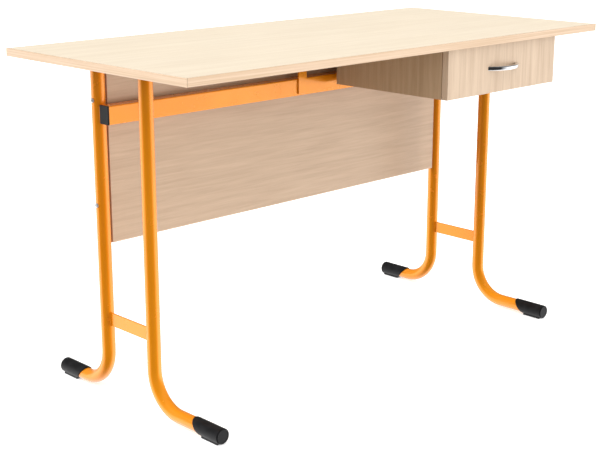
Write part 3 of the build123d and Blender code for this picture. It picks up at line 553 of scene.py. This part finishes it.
def finished_piece(name, mesh, finish, slot, body, *replaced):
    """Turn a bmesh into a piece of the desk that rides on a body."""
    data = bpy.data.meshes.new(name)
    mesh.to_mesh(data)
    mesh.free()
    data.materials.append(finish)
    piece = bpy.data.objects.new(name, data)
    bpy.context.scene.collection.objects.link(piece)
    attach(piece, body)
    if replaced:
        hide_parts(*replaced)
    return piece


# ---- Welds --------------------------------------------------------------------------------

RIPPLE = 2.4 * MM
CUTS_PER_RIPPLE = 4
CROWN = 0.10
FEWEST_RIPPLES = 3
BEAD_SECTION = 10
BEAD_RADIUS = 1.5 * MM
BEAM_BEAD_RADIUS = 2 * MM

# How full a straight bead stays towards its ends, and how thin it gets there.
TAPER_POWER = 6
TAPER_LEAST = 0.25

# How far each bead's centre stands off the faces it joins, and stops short of their ends.
LEG_RING_DROP = 0.6 * MM
BAR_STANDOFF = 0.5 * MM
TUBE_STANDOFF = 0.3 * MM
BEAM_HALF_GAP = 6.5 * MM
BEAM_STANDOFF = 1.1 * MM
BEAM_BEAD_STOP = 3 * MM
BRACKET_STANDOFF = 0.4 * MM
BRACKET_FACE_STANDOFF = 0.7 * MM
BRACKET_BEAD_STOP = 4 * MM
BEAD_STOP = MM

# A line askew to everything on the frame, along which no two weld vertices meet.
SORTING_LINE = (0.7431, 0.5772, 0.3389)


def added_since(mesh, count):
    """The vertices that a bmesh has gained since it held that many."""
    mesh.verts.index_update()
    mesh.verts.ensure_lookup_table()
    return mesh.verts[count:]


def edges_at(vertices):
    """The edges that meet at some vertices, each once and always in the same order."""
    return list(dict.fromkeys(edge for vertex in vertices for edge in vertex.link_edges))


def straight_bead(mesh, start, end, radius=BEAD_RADIUS):
    """Add a straight weld bead with a rippled crown and tapered ends to a bmesh."""
    start, end = Vector(start), Vector(end)
    run = end - start
    ripples = max(FEWEST_RIPPLES, round(run.length / RIPPLE))
    already = len(mesh.verts)
    bmesh.ops.create_cone(
        mesh,
        cap_ends=True,
        cap_tris=False,
        segments=BEAD_SECTION,
        radius1=radius,
        radius2=radius,
        depth=run.length,
    )
    lengthwise = [
        edge
        for edge in edges_at(added_since(mesh, already))
        if abs(edge.verts[0].co.z - edge.verts[1].co.z) > run.length / 2
    ]
    bmesh.ops.subdivide_edges(mesh, edges=lengthwise, cuts=CUTS_PER_RIPPLE * ripples - 1)
    turn = run.to_track_quat("Z", "Y").to_matrix().to_4x4()
    place = Matrix.Translation((start + end) / 2) @ turn
    for vertex in added_since(mesh, already):
        share = vertex.co.z / run.length
        crown = 1 + CROWN * math.cos(2 * math.pi * ripples * share)
        taper = max(TAPER_LEAST, 1 - (2 * abs(share)) ** TAPER_POWER) ** 0.5
        vertex.co.x *= crown * taper
        vertex.co.y *= crown * taper
        vertex.co = place @ vertex.co


def ring_bead(mesh, centre, tube_radius):
    """Add a rippled weld bead round an upright tube to a bmesh."""
    centre = Vector(centre)
    already = len(mesh.verts)
    section = bmesh.ops.create_circle(
        mesh, cap_ends=False, segments=BEAD_SECTION, radius=BEAD_RADIUS
    )
    upright = Matrix.Rotation(math.pi / 2, 4, "X")
    place = Matrix.Translation(centre + Vector((tube_radius, 0, 0))) @ upright
    bmesh.ops.transform(mesh, matrix=place, verts=section["verts"])
    ripples = round(2 * math.pi * tube_radius / RIPPLE)
    bmesh.ops.spin(
        mesh,
        geom=section["verts"] + edges_at(section["verts"]),
        cent=centre,
        axis=(0, 0, 1),
        angle=2 * math.pi,
        steps=CUTS_PER_RIPPLE * ripples,
        use_merge=True,
        use_duplicate=False,
    )
    for vertex in added_since(mesh, already):
        around = vertex.co - centre
        angle = math.atan2(around.y, around.x)
        spine = Vector((around.x, around.y, 0)).normalized() * tube_radius
        crown = 1 + CROWN * math.cos(ripples * angle)
        vertex.co = centre + spine + (around - spine) * crown


def weld_end_frame(mesh, side):
    """Beads round the leg tops, down both ends of the spacer bar and down the beam's end."""
    front_low, front_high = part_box(f"front_leg_{side}")
    rear_low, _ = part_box(f"rear_leg_{side}")
    x = (front_low.x + front_high.x) / 2
    tube = (front_high.x - front_low.x) / 2
    front_y, rear_y = front_high.y - tube, rear_low.y + tube
    for y in (front_y, rear_y):
        ring_bead(mesh, (x, y, front_high.z - LEG_RING_DROP), tube)

    low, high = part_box(f"spacer_bar_{side}")
    bottom, top = low.z + BEAD_STOP, high.z - BEAD_STOP
    for edge_x in (low.x - BAR_STANDOFF, high.x + BAR_STANDOFF):
        for y in (front_y + tube + TUBE_STANDOFF, rear_y - tube - TUBE_STANDOFF):
            straight_bead(mesh, (edge_x, y, bottom), (edge_x, y, top))

    low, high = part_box("cross_beam")
    bottom, top = low.z + BEAM_BEAD_STOP, high.z - BEAM_BEAD_STOP
    y = high.y + BEAM_STANDOFF
    for edge_x in (x - BEAM_HALF_GAP, x + BEAM_HALF_GAP):
        straight_bead(mesh, (edge_x, y, bottom), (edge_x, y, top), BEAM_BEAD_RADIUS)


def weld_bracket(mesh):
    """Beads up both edges of the centre bracket and along its foot, on the beam's face."""
    bracket_low, bracket_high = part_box("centre_bracket")
    beam_low, beam_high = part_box("cross_beam")
    y = beam_low.y - BRACKET_FACE_STANDOFF
    bottom, top = bracket_low.z + BEAD_STOP, beam_high.z - BRACKET_BEAD_STOP
    for edge_x in (bracket_low.x - BRACKET_STANDOFF, bracket_high.x + BRACKET_STANDOFF):
        straight_bead(mesh, (edge_x, y, bottom), (edge_x, y, top))
    z = bracket_low.z - BRACKET_STANDOFF
    left, right = bracket_low.x + BEAD_STOP, bracket_high.x - BEAD_STOP
    straight_bead(mesh, (left, y, z), (right, y, z))


def settle_order(mesh):
    """Put a bmesh's vertices and faces in an order that is the same each time."""

    def along_line(place):
        return sum(share * distance for share, distance in zip(SORTING_LINE, place))

    mesh.verts.sort(key=lambda vertex: along_line(vertex.co))
    mesh.faces.sort(key=lambda face: along_line(face.calc_center_median()))


def weld_frame(finishes):
    """Weld beads wherever two steel parts of the frame meet."""
    mesh = bmesh.new()
    for side in SIDES:
        weld_end_frame(mesh, side)
    weld_bracket(mesh)
    settle_order(mesh)
    bmesh.ops.recalc_face_normals(mesh, faces=mesh.faces)
    piece = finished_piece("weld_beads", mesh, finishes["frame_paint"], "frame_paint", "desk")
    piece.data.shade_smooth()


# ---- Eased and moulded parts --------------------------------------------------------------

# How much is taken off the corners of sawn, sheared and turned parts, in millimetres.
EASED = {
    "spacer_bar_left": 0.8,
    "spacer_bar_right": 0.8,
    "centre_bracket": 0.6,
    "corner_brackets": 0.3,
    "carcass_side_left": 0.5,
    "carcass_side_right": 0.5,
    "carcass_bottom": 0.4,
    "drawer_side_left": 0.6,
    "drawer_side_right": 0.6,
    "drawer_inner_front": 0.4,
    "drawer_back": 0.6,
    "cabinet_roller_pins": 0.3,
    "drawer_roller_pins": 0.3,
}
EASE_SEGMENTS = 2

CREASE = math.radians(30)
FLAT = math.radians(0.4)
SAME_PLACE = 0.005 * MM
BROAD_FACE_WEIGHT = 100

CAP_EDGE = 0.7 * MM
CAP_EDGE_SEGMENTS = 3
CAP_DISC_INSET = 1.6 * MM
CAP_DISC_SLOPE = 0.3 * MM
CAP_DISC_DEPTH = 0.6 * MM


def welded_copy(node):
    """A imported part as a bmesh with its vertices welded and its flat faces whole."""
    part = nodes[node]
    mesh = bmesh.new()
    mesh.from_mesh(part.data)
    bmesh.ops.transform(mesh, matrix=part.matrix_world, verts=mesh.verts)
    bmesh.ops.remove_doubles(mesh, verts=mesh.verts, dist=SAME_PLACE)
    bmesh.ops.dissolve_limit(mesh, angle_limit=FLAT, verts=mesh.verts, edges=mesh.edges)
    return mesh


def ease_edges(mesh, width, segments):
    """Round over every outer corner of a bmesh."""
    corners = [
        edge
        for edge in mesh.edges
        if edge.is_manifold and edge.is_convex and edge.calc_face_angle() > CREASE
    ]
    bmesh.ops.bevel(
        mesh,
        geom=corners,
        offset=width,
        offset_type="OFFSET",
        affect="EDGES",
        segments=segments,
        profile=0.5,
        clamp_overlap=True,
        material=-1,
    )


def smooth_between_creases(piece):
    """Shade a piece smooth, with its broad faces kept flat."""
    piece.data.shade_smooth()
    weighted = piece.modifiers.new("weighted", "WEIGHTED_NORMAL")
    weighted.keep_sharp = True
    weighted.weight = BROAD_FACE_WEIGHT


def ease_parts(body_of, slot_of):
    """Sawn, sheared and turned parts with their corners broken."""
    for node, width in EASED.items():
        mesh = welded_copy(node)
        ease_edges(mesh, width * MM, EASE_SEGMENTS)
        finish = nodes[node].data.materials[0]
        piece = finished_piece(f"{node}_eased", mesh, finish, slot_of[node], body_of[node], node)
        smooth_between_creases(piece)


def mould_foot_cap(node, finishes):
    """A foot cap with soft edges and a disc sunk a little into its end."""
    mesh = welded_copy(node)
    outward = -1 if "front" in node else 1
    tip = max(mesh.faces, key=lambda face: outward * face.calc_center_median().y)
    for width in (CAP_DISC_INSET, CAP_DISC_SLOPE):
        bmesh.ops.inset_region(mesh, faces=[tip], thickness=width, use_even_offset=True)
    for vertex in tip.verts:
        vertex.co.y -= outward * CAP_DISC_DEPTH
    ease_edges(mesh, CAP_EDGE, CAP_EDGE_SEGMENTS)
    bmesh.ops.recalc_face_normals(mesh, faces=mesh.faces)
    plastic = finishes["black_plastic"]
    piece = finished_piece(f"{node}_moulded", mesh, plastic, "black_plastic", "desk", node)
    smooth_between_creases(piece)


# ---- The desk -----------------------------------------------------------------------------


def finish_desk():
    """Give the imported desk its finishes, welds, eased corners and moulded caps."""
    slot_of = {part["node"]: part["material_slot"] for part in frame["record"]["subparts"]}
    bodies = frame["record"]["behaviour"]["bodies"]
    body_of = {node: body for body, members in bodies.items() for node in members}
    finishes = make_finishes()
    finish_frame(finishes, slot_of)
    weld_frame(finishes)
    ease_parts(body_of, slot_of)
    for corner in CORNERS:
        mould_foot_cap(f"foot_cap_{corner}", finishes)


place_camera()
light_studio()
lay_floor()
finish_desk()
